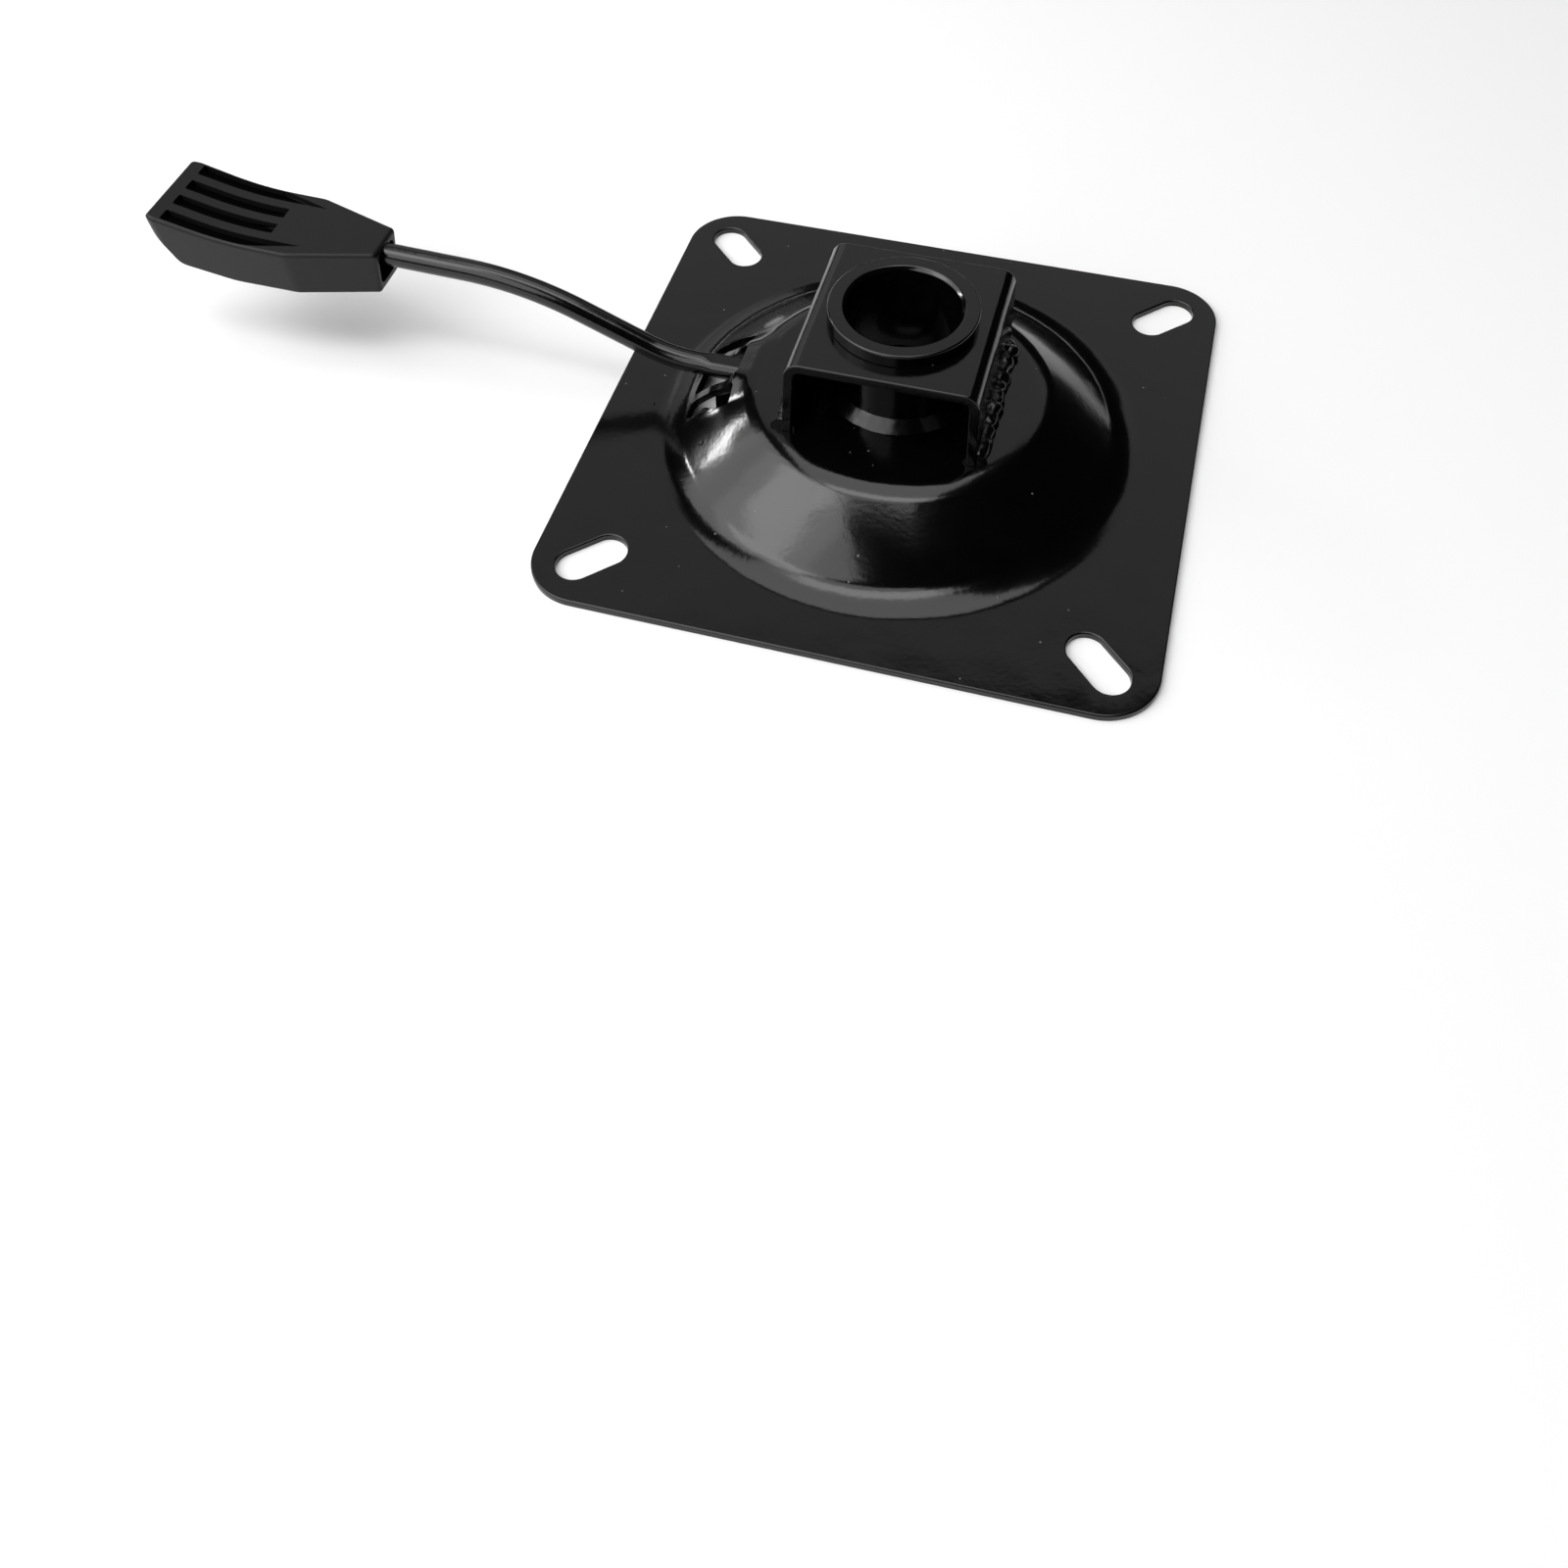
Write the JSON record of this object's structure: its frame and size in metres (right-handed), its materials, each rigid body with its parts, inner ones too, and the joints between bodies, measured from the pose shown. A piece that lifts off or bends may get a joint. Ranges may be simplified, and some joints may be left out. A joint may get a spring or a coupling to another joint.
{
  "type": "swivel stool seat plate with gas lift lever",
  "caption": "Square pressed-steel stool seat plate with a domed middle, a welded socket for a gas lift's cone and a hinged release lever with a moulded grip.",
  "frame": {"origin": "centre of the square plate, on its flat underside, which the seat is screwed to", "axes": "+Z along the socket's bore, away from the seat; the lever points along -X; +Y completes the frame"},
  "size_m": [0.2798, 0.155, 0.0437],
  "materials": {
    "black_painted_steel": "gloss black paint over pressed steel",
    "weld_paint": "gloss black paint over weld beads",
    "lever_bar_paint": "gloss black paint over steel bar",
    "moulded_grip": "fine matt black moulding"
  },
  "bodies": {
    "plate": {"base_plate": "black_painted_steel", "channel_bracket": "black_painted_steel", "socket_bush": "black_painted_steel", "socket_weld": "weld_paint", "bracket_weld_left": "weld_paint", "bracket_weld_right": "weld_paint"},
    "lever": {"lever_rod": "lever_bar_paint", "pivot_pin": "lever_bar_paint", "lever_grip": "moulded_grip"}
  },
  "joints": [
    {"name": "lever_pivot", "type": "hinge", "parent": "plate", "child": "lever", "pos_m": [-0.042, 0, 0.0081], "axis": [0, 1, 0], "range_deg": [0, 10]}
  ]
}
